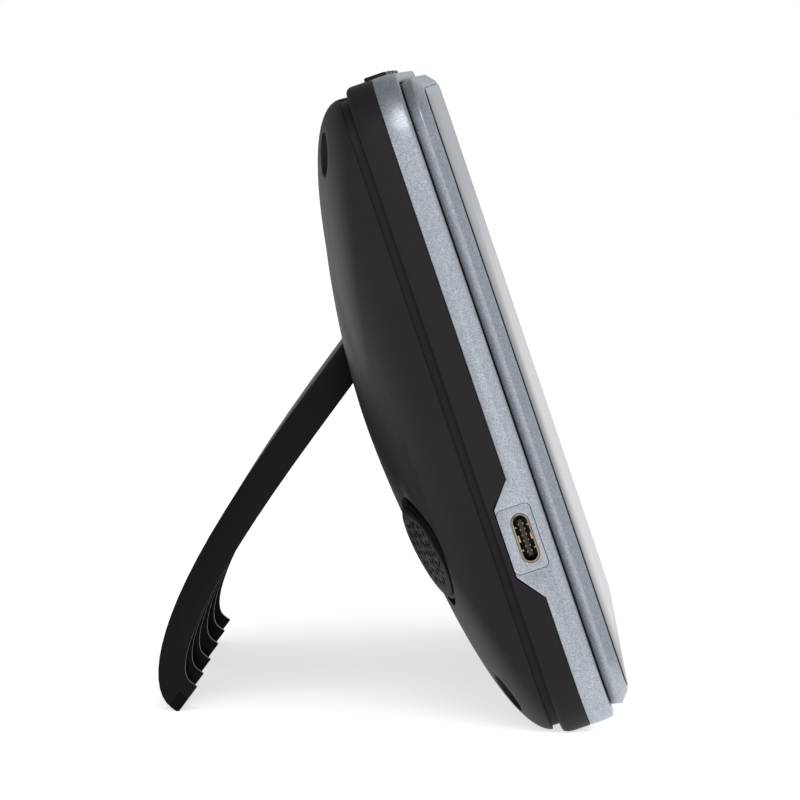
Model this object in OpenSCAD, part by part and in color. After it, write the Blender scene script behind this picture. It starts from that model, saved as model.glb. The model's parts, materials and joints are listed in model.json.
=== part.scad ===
// Tabletop digital photo frame: a leaning screen housing on a fold-out stand.
// Frame: X is the width, +Z is up and the screen faces -Y. The origin lies on the table, under the
// middle of the whole object with the stand folded out. All sizes are in millimetres.
// The housing is drawn in its own leaning frame: x is the width, y is the depth behind the glass
// and z is the height along the screen, measured from the middle of the housing.

/* [Housing] */
// Width of the silver band, the widest part
housing_w = 188; // [184:1:196]
// Height of the silver band along the screen
housing_h = 120.4; // [118:0.2:122]
// Corner radius of the band, seen from the front
corner_r = 12; // [10:0.5:14]
// Backward lean of the screen, in degrees
lean = 18.8; // [17:0.1:20]

/* [Depth levels, measured back from the glass] */
// Crest of the bezel's two facets
ridge_y = 2.05; // [1.6:0.05:2.4]
// Back edge of the visible bezel
bezel_back_y = 3.65; // [3.3:0.05:3.8]
// Front edge of the band, after the seam
band_front_y = 4.1; // [3.9:0.05:4.4]
// Joint between the band and the rear cover
split_y = 8.6; // [8.2:0.1:9]
// Back of the rear cover's rim
rim_back_y = 13.6; // [13.2:0.1:14]
// Edge where the neck turns into the dome
dome_base_y = 15.2; // [14.8:0.1:15.6]
// Height of the dome above its base
dome_rise = 14.9; // [14.4:0.1:15.6]

/* [Dome] */
// Half width of the dome's flat middle
dome_flat_x = 59.8; // [59:0.2:61]
// Width of the shoulder at each end
dome_shoulder = 32.8; // [30:0.1:33]
// Height of the dome's crest above the middle of the housing
dome_crest_z = 3.7; // [1:0.1:6]
// Fullness of the dome above its crest: a smaller number is fuller
dome_full_top = 0.578; // [0.5:0.002:0.62]
// Fullness of the dome below its crest
dome_full_low = 0.531; // [0.48:0.001:0.58]
// Wall thickness of the plastic shells
wall = 2; // [1.6:0.1:2.4]

/* [Stand] */
// Angle that the stand swings through
leg_swing = 55.3; // [54:0.1:56]
// Width of the stand
leg_w = 116; // [110:1:117]
// Depth of its side walls and ribs
leg_depth = 5.8; // [5:0.1:6]
// Rise of the stand's own curve, which runs close under the dome
leg_rise = 14.85; // [14.2:0.05:15]
// Fullness of the stand's curve: a smaller number is fuller
leg_full = 0.64; // [0.6:0.01:0.8]
// Height of the top of the stand's curve above the middle of the housing
leg_crest_z = 9.8; // [9:0.1:10.4]
// Thickness of its outer skin
leg_skin = 1.8; // [1.6:0.1:2.2]
// Radius of the steel hinge pin
pin_r = 1.5; // [1.2:0.1:1.8]

/* [Keys and socket] */
// Number of keys along the top edge
key_count = 4; // [3:1:4]
// Distance from one key to the next
key_pitch = 28; // [24:0.5:30]
// Travel of a key
key_travel = 0.6; // [0.4:0.1:0.7]
// Middle of the charging socket, below the middle of the housing
socket_drop = 24.1; // [22:0.1:26]

/* [Hidden] */
$fn = 64;
eps = 0.01;

half_w = housing_w / 2;
half_h = housing_h / 2;
// Insets from the band's outline
bezel_inset = 1.8;
bezel_back_inset = 2.3;
face_inset = 3.7;
neck_inset = 2;
dome_inset = 1.4;
// Back of the wide part of the hollow, which leaves a full wall behind the neck
band_hollow_y = 12;
// Depth of the rim's softened back edge
rim_edge = 1.2;
lens_inset = 4.4;

// The table plane meets the rim on a flat strip that starts at strip_y, behind the glass
strip_y = 11.3;
face_z = half_h * cos(lean) + strip_y * sin(lean);
face_y = -24.4;

// Hinge axis, in the housing's frame
pivot_y = 25.2;
pivot_z = 14.5;
barrel_r = 3.3;
trough_r = 5.9;
pin_gap = 0.05;
leg_top_z = 15.8;
wall_top_z = 10.6;
leg_foot_z = -58;
leg_gap = 0.45;
foot_reach = 1.35;
rib_t = 1.7;
rib_x = [36.5, 13.4];
pad_y = 15.8;
pad_depth = 3.2;
notch_r = 12;
notch_y = 9.4;
knuckle_x = 44;
knuckle_w = 10;
bracket_w = 3;
bracket_r = 2.3;
washer_t = 0.6;

// Keys
key_w = 20;
key_d = 4.2;
key_y = 8.6;
key_proud = 0.8;
key_top_z = half_h + key_proud;
key_gap = 0.2;

// Fasteners and inner parts
screw_x = 80;
screw_z = 50.4;
screw_seat_y = 17.4;
post_y = 11.5;
hinge_screw_y = 23.1;
hinge_screw_z = pivot_z - 13.5;
recess_r = 3.8;
board_y = 10.3;
board_t = 1.2;
board_x0 = -91.2;
board_x1 = -18;
board_z0 = -44;
board_z1 = 6;
speaker_x = -77;
speaker_z = -22.2;
speaker_tilt = 15;
speaker_y = 25.4;
speaker_r = 9.5;

function ring_count() = 12;
function level(i) = sin(90 * i / ring_count()) * 0.997;
function dome_half() = half_h - dome_inset;
function ring_top_z(h) = dome_crest_z + (dome_half() - dome_crest_z) * pow(1 - h * h, dome_full_top);
function ring_low_z(h) = dome_crest_z - (dome_half() + dome_crest_z) * pow(1 - h * h, dome_full_low);
function ring_half_x(h, d) = dome_flat_x + dome_shoulder * sqrt(1 - h * h) - d;
function ring_half_z(h, d) = max((ring_top_z(h) - ring_low_z(h)) / 2 - d, 1.2);
function ring_mid_z(h) = (ring_top_z(h) + ring_low_z(h)) / 2;
function ring_corner(h, d) = max(min(10.6 + 30 * h - d, ring_half_z(h, d) - 0.3), 0.8);
// One outline of the dome at level h, drawn in by d, as points from corner to corner
function ring(h, d, y) = let (a = ring_half_x(h, d), b = ring_half_z(h, d), r = ring_corner(h, d))
  [for (c = [0:3]) for (k = [0:8]) let (t = 90 * c + 11.25 * k,
    sx = (c == 0 || c == 3) ? 1 : -1, sz = (c < 2) ? 1 : -1)
    [sx * (a - r) + r * cos(t), y, ring_mid_z(h) + sz * (b - r) + r * sin(t)]];

// Curve of the stand from the foot upwards, as [y, z] points: drawn in by d, and longer by reach at
// its foot
function crest_line(d, reach) = let (h = dome_half() + leg_crest_z - d + reach)
  [for (t = [0:5:90]) [dome_base_y + (leg_rise - d) * sin(t), leg_crest_z - h * pow(cos(t), leg_full)]];

module leaned() {
  translate([0, face_y, face_z]) rotate([-lean, 0, 0]) children();
}

module above_table() {
  difference() {
    children();
    translate([-150, -150, -60]) cube([300, 300, 60]);
  }
}

// Flat outline of the housing, drawn in by d
module outline(d) {
  r = max(corner_r - d, 1);
  a = half_w - d;
  b = half_h - d;
  square([2 * a, 2 * (b - r)], center = true);
  square([2 * (a - r), 2 * b], center = true);
  for (sx = [-1, 1]) for (sz = [-1, 1]) translate([sx * (a - r), sz * (b - r)]) circle(r = r);
}

// Slab of the housing's outline between two depths
module slab(y0, y1, d) {
  translate([0, y1, 0]) rotate([90, 0, 0]) linear_extrude(y1 - y0) outline(d);
}

module tapered_slab(y0, y1, d0, d1) {
  hull() {
    slab(y0, y0 + eps, d0, $fn = 40);
    slab(y1 - eps, y1, d1, $fn = 40);
  }
}

module box(x0, x1, y0, y1, z0, z1) {
  translate([x0, y0, z0]) cube([x1 - x0, y1 - y0, z1 - z0]);
}

// Cylinder along the depth, at a place on the screen plane
module post(x, z, r, y0, y1) {
  translate([x, y1, z]) rotate([90, 0, 0]) cylinder(r = r, h = y1 - y0);
}

// Rod along the width through the hinge axis
module rod(x0, x1, r) {
  translate([x0, pivot_y, pivot_z]) rotate([0, 90, 0]) cylinder(r = r, h = x1 - x0);
}

module dome(d) {
  n = 36;
  m = ring_count();
  base = dome_base_y - (d > 0 ? 8 : 0.02);
  levels = [for (i = [0:m]) each ring(level(i), d, dome_base_y + (dome_rise - d) * level(i))];
  pts = concat(ring(0, d, base), levels);
  sides = [for (i = [0:m]) for (k = [0:n - 1]) let (a = i * n + k, b = i * n + (k + 1) % n)
    each [[a, b, b + n], [a, b + n, a + n]]];
  polyhedron(pts, concat([[for (k = [n - 1:-1:0]) k]], sides, [[for (k = [0:n - 1]) (m + 1) * n + k]]));
}

// Strip under the stand's curve between two depths d0 and d1, from the plane y0 up to the height z1
module crest_band(x0, x1, d0, d1, y0, z1, reach = 0) {
  outer = crest_line(d0, reach);
  inner = crest_line(d1, reach);
  last = len(outer) - 1;
  translate([x0, 0, 0]) rotate([90, 0, 90]) linear_extrude(x1 - x0)
    polygon(concat([[y0, outer[0].y]], outer, [[outer[last].x, z1], [inner[last].x, z1]],
      [for (i = [last:-1:0]) inner[i]], [[y0, inner[0].y]]));
}

// Space that the folded stand needs in the rear cover, grown by g
module leg_pocket(g) {
  x = leg_w / 2 + 0.6 + g;
  y0 = rim_back_y - 0.3 - g;
  crest_band(-x, x, -12, leg_depth + leg_gap + 0.6 + g, y0, leg_top_z + 1 + g);
  rod(-x, x, trough_r + g);
  box(-x, x, pivot_y - g, pivot_y + 12, pivot_z, pivot_z + trough_r + g);
}

// Seat of the speaker disc, square to the tilted shoulder
module at_speaker() {
  translate([speaker_x, speaker_y, speaker_z]) rotate([-8, 0, speaker_tilt]) children();
}

module disc(r, y0, y1) {
  translate([0, y1, 0]) rotate([90, 0, 0]) cylinder(r = r, h = y1 - y0);
}

module key_row() {
  for (i = [0:key_count - 1]) translate([(i - (key_count - 1) / 2) * key_pitch, 0, 0]) children();
}

module key_slots() {
  key_row() box(-key_w / 2 - key_gap, key_w / 2 + key_gap, key_y - key_d / 2 - key_gap,
    key_y + key_d / 2 + key_gap, half_h - 8, half_h + 5);
}

// Step in the joint line where the band reaches back around the charging socket, as an outline
module socket_step(x0, x1, g) {
  reach = 3.7;
  translate([x0, 0, -socket_drop]) rotate([90, 0, 90]) linear_extrude(x1 - x0)
    polygon([[split_y - 1, 10.8 + g], [split_y, 10.8 + g], [split_y + reach + g, 6.4 + g],
      [split_y + reach + g, -6.2 - g], [split_y, -11 - g], [split_y - 1, -11 - g]]);
}

module cover_screws_at() {
  for (sx = [-1, 1]) for (sz = [-1, 1]) translate([sx * screw_x, 0, sz * screw_z]) children();
}

module rear_cover() {
  color("#2e2c30") above_table() leaned() difference() {
    union() {
      slab(split_y, rim_back_y - rim_edge, 0);
      tapered_slab(rim_back_y - rim_edge - eps, rim_back_y, 0, rim_edge * 0.8);
      slab(rim_back_y - 0.2, dome_base_y, neck_inset);
      dome(0);
    }
    // Hollow inside, leaving a wall under the stand's pocket, the screw posts and the speaker seat
    difference() {
      union() {
        slab(split_y - 1, band_hollow_y, wall + 0.4);
        dome(wall);
      }
      leg_pocket(1.7);
      cover_screws_at() post(0, 0, 5.4, post_y, 40);
      // Bosses for the screws at the hinge
      for (s = [-1, 1]) post(s * knuckle_x, hinge_screw_z, 3, 16, 30);
      at_speaker() difference() {
        disc(12.4, -6, 20);
        disc(9.6, -7, -2.4);
      }
    }
    leg_pocket(0);
    cover_screws_at() {
      post(0, 0, recess_r, screw_seat_y, 40);
      post(0, 0, 1.45, split_y - 2, 40);
    }
    at_speaker() {
      disc(speaker_r + 1.1, -1.6, 20);
      disc(7.4, -20, 5);
    }
    key_slots();
    socket_step(-half_w - 1, -half_w + 6, 0);
    // Counterbored holes of the screws at the hinge
    for (s = [-1, 1]) {
      post(s * knuckle_x, hinge_screw_z, 0.9, 10, 30);
      post(s * knuckle_x, hinge_screw_z, 2.1, hinge_screw_y, 30);
    }
  }
}

module mid_frame() {
  color("#a9afb5") above_table() leaned() difference() {
    union() {
      difference() {
        union() {
          tapered_slab(band_front_y, band_front_y + 1.4, 0.7, 0.12);
          slab(band_front_y + 1.4 - eps, split_y, 0);
        }
        slab(band_front_y - 1, split_y + 1, wall);
      }
      // Shelf that the screen module screws to
      difference() {
        slab(7.2, split_y, wall - 0.5);
        box(-76, 76, 5, 12, -44, 44);
      }
      intersection() {
        slab(split_y - 1, split_y + 5, 0);
        socket_step(-half_w, -half_w + 2.2, -0.1);
      }
      cover_screws_at() post(0, 0, 3.4, 7.2, post_y - 0.1);
    }
    cover_screws_at() post(0, 0, 1.3, 7.5, post_y + 1);
    // Room for the key board behind the top wall
    box(-55, 55, 6, 12, half_h - 9.2, half_h - 5);
    key_slots();
    socket_opening(0.06);
    box(-half_w + 1.6, -half_w + 12, 5.6, 14, -socket_drop - 5.6, -socket_drop + 5.6);
  }
}

// Rounded opening for the port insert in the band's side
module socket_opening(g) {
  translate([-half_w - 1, 9.15, -socket_drop]) rotate([0, 90, 0]) linear_extrude(2.9) {
    square([11.8 + 2 * g, 4.2 + 2 * g], center = true);
    square([9.8 + 2 * g, 6.2 + 2 * g], center = true);
    for (sz = [-1, 1]) for (sy = [-1, 1]) translate([sz * 4.9, sy * 2.1]) circle(r = 1 + g, $fn = 32);
  }
}

module front_bezel() {
  color("#9aa1a8") above_table() leaned() difference() {
    union() {
      tapered_slab(0, ridge_y, face_inset, bezel_inset);
      tapered_slab(ridge_y - eps, bezel_back_y, bezel_inset, bezel_back_inset);
      // Tongue that plugs into the band
      slab(bezel_back_y - eps, 5.8, wall + 0.4);
    }
    slab(-1, 1.3, lens_inset - 0.1);
    slab(1, 1.8, lens_inset + 2.4);
    slab(1.7, 8, wall + 1.7);
  }
}

module front_lens() {
  color("#10141a") leaned() slab(0, 1.1, lens_inset);
}

module lens_gasket() {
  color("#151515") leaned() difference() {
    slab(1.1, 1.3, lens_inset);
    slab(1, 2, lens_inset + 2.4);
  }
}

module lcd_panel() {
  color("#20242c") leaned() box(-82.5, 82.5, 1.9, 3.6, -50, 50);
}

module lcd_backlight() {
  color("#b8bcc0") leaned() difference() {
    box(-83, 83, 3.6, 7.2, -50.5, 50.5);
    box(-82, 82, 3, 6.4, -49.5, 49.5);
    // Slot for the ribbon cable
    box(-22, 12, 6, 8, -49, -42);
  }
  color("#f4f4f0") leaned() box(-82, 82, 3.6, 6.4, -49.5, 49.5);
}

// Ribbon from the screen to the main board, folded once
module lcd_flex_cable() {
  color("#b5752a") leaned() {
    box(-50, -30, 7.25, 7.45, -42, -20);
    box(-50, -30, 7.25, 9.9, -20.2, -20);
    box(-50, -30, 9.7, 9.9, -36, -20);
  }
}

module main_board() {
  color("#1f5a35") leaned() difference() {
    box(board_x0, board_x1, board_y, board_y + board_t, board_z0, board_z1);
    board_holes_at() post(0, 0, 1.5, board_y - 1, board_y + 3);
    box(board_x0 - 1, board_x0 + 3, board_y - 1, board_y + 3, board_z0 - 1, -socket_drop - 8);
  }
}

module board_holes_at() {
  for (x = [board_x0 + 10, board_x1 - 4]) for (z = [board_z0 + 4, board_z1 - 4])
    translate([x, 0, z]) children();
}

module processor_shield() {
  color("#c9ccd0") leaned() difference() {
    box(-56, -30, board_y + board_t, board_y + board_t + 2.2, -34, -10);
    box(-55.7, -30.3, board_y + board_t - 1, board_y + board_t + 1.9, -33.7, -10.3);
  }
}

module memory_chips() {
  color("#1a1a1c") leaned() for (z = [-32, -18])
    box(-71, -61, board_y + board_t, board_y + board_t + 1, z, z + 12);
}

module radio_module() {
  color("#3a6ea5") leaned() box(-48, -32, board_y + board_t, board_y + board_t + 1.8, -7, 3);
}

module battery_pack() {
  color("#5a6a7a") leaned() difference() {
    box(2, 66, 9.4, 15.2, -42, 0);
    for (z = [-42, 0]) for (y = [9.4, 15.2])
      translate([0, y, z]) rotate([45, 0, 0]) cube([140, 1.6, 1.6], center = true);
  }
}

module socket_outline(g) {
  square([8.94 - 3.2 + 2 * g, 3.2 + 2 * g], center = true);
  for (s = [-1, 1]) translate([s * (8.94 - 3.2) / 2, 0]) circle(r = 1.6 + g, $fn = 32);
}

module at_socket(x) {
  translate([x, split_y, -socket_drop]) rotate([0, 90, 0]) children();
}

module usb_socket_shell() {
  color("#b9bbbd") leaned() difference() {
    at_socket(-half_w + 0.2) linear_extrude(7.4) socket_outline(0);
    at_socket(-half_w - 1) linear_extrude(8.2) socket_outline(-0.32);
  }
}

module usb_socket_tongue() {
  color("#3c3e40") leaned() difference() {
    union() {
      box(-half_w + 1.1, -half_w + 7.1, split_y - 0.35, split_y + 0.35, -socket_drop - 3.3, -socket_drop + 3.3);
      at_socket(-half_w + 6.2) linear_extrude(0.9) socket_outline(-0.42);
    }
  }
  color("#c9a24a") leaned() for (s = [-1, 1]) for (k = [-2.5:1:2.5])
    box(-half_w + 1.5, -half_w + 4.6, split_y + s * 0.4 - 0.05, split_y + s * 0.4 + 0.05,
      -socket_drop + k - 0.15, -socket_drop + k + 0.15);
}

module usb_port_insert() {
  color("#a2a8ae") leaned() difference() {
    intersection() {
      socket_opening(-0.02);
      slab(0, 14, 0);
    }
    at_socket(-half_w - 2) linear_extrude(6) socket_outline(0.06);
  }
}

module speaker_grille() {
  color("#26252a") leaned() at_speaker() difference() {
    union() {
      disc(speaker_r, -1.6, 0.7);
      disc(speaker_r - 0.7, 0.6, 1.1);
    }
    disc(speaker_r - 1.5, -3, 0.2);
    // Rings of sound holes
    for (ring_no = [1:3]) for (k = [0:6 * ring_no - 1]) rotate([0, 360 * k / (6 * ring_no), 0])
      translate([ring_no * 2, 0, 0]) disc(0.45, -3, 4, $fn = 16);
    disc(0.45, -3, 4, $fn = 16);
  }
}

module speaker_gasket() {
  color("#1a1a1a") leaned() at_speaker() difference() {
    disc(9.4, -4.2, -3.2);
    disc(7.6, -5, -3);
  }
}

module speaker_driver() {
  color("#7d8084") leaned() at_speaker() {
    disc(9.4, -6.2, -4.2);
    disc(6.5, -9.6, -6.2);
  }
}

module key_board() {
  color("#1f5a35") leaned() box(-54, 54, 6.2, 11, half_h - 8.6, half_h - 7.6);
}

module key_switches() {
  color("#d8d8d4") leaned() key_row() {
    box(-2.6, 2.6, 7.2, 10, half_h - 7.6, half_h - 5.8);
    translate([0, key_y, half_h - 5.8]) cylinder(r = 0.9, h = 0.5, $fn = 24);
  }
}

module top_key(i) {
  x = (i - (key_count - 1) / 2) * key_pitch;
  color("#161517") leaned() translate([x, 0, 0]) {
    box(-key_w / 2, key_w / 2, key_y - key_d / 2, key_y + key_d / 2, half_h - 2.4, key_top_z);
    translate([0, key_y, half_h - 5.3 + key_travel]) cylinder(r = 1.2, h = 3.4 - key_travel, $fn = 24);
  }
}

// The stand is drawn folded and then swung open about the hinge axis
module swung_open() {
  leaned() translate([0, pivot_y, pivot_z]) rotate([leg_swing, 0, 0])
    translate([0, -pivot_y, -pivot_z]) children();
}

// Part of the stand's shell across the width from x0 to x1, down to depth d under the dome
module leg_strip(x0, x1, d, z1) {
  crest_band(x0, x1, leg_gap, leg_gap + d, rim_back_y + 0.1, z1, foot_reach);
}

module leg_walls(x) {
  for (s = [-1, 1]) leg_strip(s * x - rib_t / 2, s * x + rib_t / 2, leg_depth, wall_top_z);
}

// Round notch at the foot that a finger pulls
module finger_notch() {
  translate([0, notch_y, leg_foot_z - 10]) cylinder(r = notch_r, h = 22);
}

module leg_shell() {
  hw = leg_w / 2;
  leg_strip(-hw, hw, leg_skin, leg_top_z);
  leg_walls(hw - rib_t / 2);
  for (x = rib_x) leg_walls(x);
}

// Rubber inlay along the foot, part of the leg's depth
module foot_strip(g) {
  hw = leg_w / 2 + g;
  intersection() {
    crest_band(-hw, hw, leg_gap - g, leg_gap + pad_depth, rim_back_y + 0.1 - g, wall_top_z, foot_reach);
    box(-hw, hw, 5, pad_y, leg_foot_z - 9, leg_foot_z + 9);
  }
}

module kickstand_leg() {
  hw = leg_w / 2;
  color("#231f20") above_table() swung_open() difference() {
    union() {
      leg_shell();
      for (s = [-1, 1]) translate([s * knuckle_x, 0, 0]) {
        rod(-knuckle_w / 2, knuckle_w / 2, barrel_r);
        intersection() {
          leg_strip(-knuckle_w / 2, knuckle_w / 2, leg_depth, pivot_z + 0.6);
          box(-9, 9, 0, 40, pivot_z - 9, pivot_z + 0.6);
        }
      }
    }
    rod(-hw - 1, hw + 1, pin_r + pin_gap);
    finger_notch();
    foot_strip(0.5);
  }
}

module leg_foot_pad() {
  color("#101010") above_table() swung_open() difference() {
    foot_strip(0);
    finger_notch();
  }
}

module hinge_pin() {
  color("#b0b3b6") leaned() rod(-55, 55, pin_r);
}

module hinge_brackets() {
  x_in = knuckle_x - knuckle_w / 2 - washer_t - bracket_w - 0.1;
  x_out = knuckle_x + knuckle_w / 2 + washer_t + 0.1;
  color("#8d9196") leaned() difference() {
    union() for (s = [-1, 1]) for (x = [x_in, x_out]) translate([s * (x + bracket_w / 2), 0, 0]) {
      rod(-bracket_w / 2, bracket_w / 2, bracket_r);
      box(-bracket_w / 2, bracket_w / 2, pivot_y - 5.35, pivot_y, pivot_z - bracket_r, pivot_z + bracket_r);
    }
    rod(-60, 60, pin_r);
  }
}

module friction_washers() {
  color("#c4c7ca") leaned() difference() {
    for (s = [-1, 1]) for (x = [-knuckle_w / 2 - washer_t / 2 - 0.05, knuckle_w / 2 + washer_t / 2 + 0.05])
      translate([s * knuckle_x + x, 0, 0]) rod(-washer_t / 2, washer_t / 2, bracket_r);
    rod(-60, 60, pin_r + 0.03);
  }
}

module bracket_screws() {
  color("#8b8f93") leaned() for (s = [-1, 1]) {
    post(s * knuckle_x, hinge_screw_z, 0.8, 17, hinge_screw_y + 0.2);
    post(s * knuckle_x, hinge_screw_z, 1.8, hinge_screw_y, hinge_screw_y + 0.9);
  }
}

// Screws with a cross recess
module cross_screw(head_r, head_h, shank_r, shank_l) {
  difference() {
    union() {
      post(0, 0, head_r, 0, head_h);
      post(0, 0, shank_r, -shank_l, 0.2);
    }
    for (a = [0, 90])
      rotate([0, a, 0]) translate([0, head_h, 0]) cube([head_r * 1.15, head_h * 1.2, 0.7], center = true);
  }
}

module case_screws() {
  color("#55575a") leaned() cover_screws_at()
    translate([0, screw_seat_y, 0]) cross_screw(2.7, 1.9, 1.2, 9.6);
}

module board_screws() {
  color("#9a9da0") leaned() board_holes_at()
    translate([0, board_y + board_t, 0]) cross_screw(2.3, 1.2, 1.2, 2.6);
}

rear_cover();
mid_frame();
front_bezel();
front_lens();
lens_gasket();
lcd_panel();
lcd_backlight();
lcd_flex_cable();
main_board();
processor_shield();
memory_chips();
radio_module();
battery_pack();
usb_socket_shell();
usb_socket_tongue();
usb_port_insert();
speaker_grille();
speaker_driver();
speaker_gasket();
key_board();
key_switches();
top_key(0);  // key_1
top_key(1);  // key_2
top_key(2);  // key_3
top_key(3);  // key_4
kickstand_leg();
leg_foot_pad();
hinge_pin();
hinge_brackets();
friction_washers();
bracket_screws();
case_screws();
board_screws();
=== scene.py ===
"""Looks of a tabletop digital photo frame: finishes, rounded shells, soft studio light and camera.

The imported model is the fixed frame. Shells whose smoothness matters are modelled here around it; every
other part keeps its own mesh and gets a finish. Housing sizes are in millimetres in the housing's own
leaning frame: x is the width, y the depth behind the glass and z the height from the housing's middle.
"""
import json
import logging
import math
from dataclasses import dataclass, field
from enum import Enum
from typing import Any, Callable, Iterable, Sequence

import bmesh
import bpy
from mathutils import Matrix, Vector


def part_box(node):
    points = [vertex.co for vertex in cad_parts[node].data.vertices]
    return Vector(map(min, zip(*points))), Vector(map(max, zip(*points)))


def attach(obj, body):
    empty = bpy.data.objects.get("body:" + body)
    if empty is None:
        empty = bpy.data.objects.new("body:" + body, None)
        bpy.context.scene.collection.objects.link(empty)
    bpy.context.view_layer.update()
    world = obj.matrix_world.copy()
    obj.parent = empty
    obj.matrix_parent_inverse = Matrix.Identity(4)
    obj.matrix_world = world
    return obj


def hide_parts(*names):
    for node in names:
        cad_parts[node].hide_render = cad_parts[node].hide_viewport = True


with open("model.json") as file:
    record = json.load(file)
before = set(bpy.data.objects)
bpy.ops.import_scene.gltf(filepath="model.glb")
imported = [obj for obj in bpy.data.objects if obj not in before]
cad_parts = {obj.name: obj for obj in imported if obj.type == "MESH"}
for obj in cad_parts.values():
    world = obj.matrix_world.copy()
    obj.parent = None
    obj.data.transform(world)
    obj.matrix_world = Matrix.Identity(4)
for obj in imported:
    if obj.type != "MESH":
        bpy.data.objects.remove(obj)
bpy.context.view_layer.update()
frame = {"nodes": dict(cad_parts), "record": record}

MM = 0.001
COAT_ROUGHNESS = 0.12
MERGE_MM = 0.002
FLAT_DEG = 0.4
WAVES_IN_A_UNIT = 20
log = logging.getLogger("photo_frame")


# ---------------------------------------------------------------- colour and node helpers


def srgb(hex_value: str) -> tuple[float, float, float, float]:
    """Turns an sRGB hex colour into the linear RGBA that shaders read.

    Args:
        hex_value: a colour such as "2e2c30".

    Returns:
        Linear red, green and blue, with an alpha of 1.
    """
    channels = [int(hex_value[i:i + 2], 16) / 255 for i in (0, 2, 4)]
    linear = [c / 12.92 if c <= 0.04045 else ((c + 0.055) / 1.055) ** 2.4 for c in channels]
    return (*linear, 1.0)


def add_node(
    tree: bpy.types.NodeTree,
    kind: str,
    settings: dict[Any, Any] | None = None,
    links: dict[Any, bpy.types.NodeSocket] | None = None,
) -> bpy.types.Node:
    """Adds one shader node.

    Args:
        tree: the node tree that gets the node.
        kind: the node's type name.
        settings: values by input name or index, or by the node's own property name.
        links: output sockets that feed the named inputs.

    Returns:
        The new node.
    """
    node = tree.nodes.new(kind)
    for key, value in (settings or {}).items():
        if isinstance(key, int) or key in node.inputs:
            node.inputs[key].default_value = value
        else:
            setattr(node, key, value)
    for key, source in (links or {}).items():
        tree.links.new(source, node.inputs[key])
    return node


def per_metre(size_mm: float) -> float:
    """Texture scale, in cells a metre, of a pattern whose cells are size_mm across."""
    return 1 / (size_mm * MM)


# ---------------------------------------------------------------- finishes


@dataclass(frozen=True)
class Finish:
    """A surface finish with a fine relief and a slow change of colour and gloss.

    Attributes:
        name: what the material is and how its surface was made.
        base: sRGB hex colour.
        tint: sRGB hex colour that the base drifts towards in patches.
        roughness: mean roughness.
        spread: how far the roughness drifts either way.
        metallic: 0 for a dielectric and 1 for bare metal.
        grain_mm: size of the relief's grain.
        relief_mm: height of the relief.
        patch_mm: size of the colour and gloss patches.
        coat: weight of a clear coat.
        specular: strength of a dielectric's mirror part, where 0.5 is a fresh gloss.
        mirror_tint: sRGB hex colour of that mirror part.
    """

    name: str
    base: str
    tint: str
    roughness: float = 0.45
    spread: float = 0.05
    metallic: float = 0.0
    grain_mm: float = 0.4
    relief_mm: float = 0.006
    patch_mm: float = 14.0
    coat: float = 0.0
    specular: float = 0.5
    mirror_tint: str = "ffffff"

    def material(self) -> bpy.types.Material:
        """Builds the finish once and returns it from then on.

        Returns:
            The finish's material.
        """
        made = bpy.data.materials.get(self.name)
        if made:
            return made
        made = bpy.data.materials.new(self.name)
        made.use_nodes = True
        tree = made.node_tree
        tree.nodes.clear()
        place = add_node(tree, "ShaderNodeTexCoord").outputs["Object"]
        shader = add_node(tree, "ShaderNodeBsdfPrincipled",
                          {"Metallic": self.metallic, "Coat Weight": self.coat})
        shader.inputs["Coat Roughness"].default_value = COAT_ROUGHNESS
        shader.inputs["Specular IOR Level"].default_value = self.specular
        shader.inputs["Specular Tint"].default_value = srgb(self.mirror_tint)
        self.dress(tree, place, shader)
        add_node(tree, "ShaderNodeOutputMaterial", links={"Surface": shader.outputs["BSDF"]})
        return made

    def dress(self, tree: bpy.types.NodeTree, place: bpy.types.NodeSocket, shader: bpy.types.Node) -> None:
        """Links colour, roughness and relief into the shader.

        Args:
            tree: the material's node tree.
            place: object coordinates, in metres.
            shader: the principled shader.
        """
        patches = add_node(tree, "ShaderNodeTexNoise", {"Scale": per_metre(self.patch_mm), "Detail": 4.0},
                           {"Vector": place})
        colour = add_node(tree, "ShaderNodeMix", {"data_type": "RGBA", 6: srgb(self.base), 7: srgb(self.tint)},
                          {0: patches.outputs["Fac"]})
        gloss = add_node(tree, "ShaderNodeMapRange",
                         {"To Min": self.roughness - self.spread, "To Max": self.roughness + self.spread},
                         {"Value": patches.outputs["Fac"]})
        grain = add_node(tree, "ShaderNodeTexNoise", {"Scale": per_metre(self.grain_mm), "Detail": 2.0},
                         {"Vector": place})
        relief = add_node(tree, "ShaderNodeBump", {"Strength": 1.0, "Distance": self.relief_mm * MM},
                          {"Height": grain.outputs["Fac"]})
        tree.links.new(colour.outputs[2], shader.inputs["Base Color"])
        tree.links.new(gloss.outputs["Result"], shader.inputs["Roughness"])
        tree.links.new(relief.outputs["Normal"], shader.inputs["Normal"])


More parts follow.
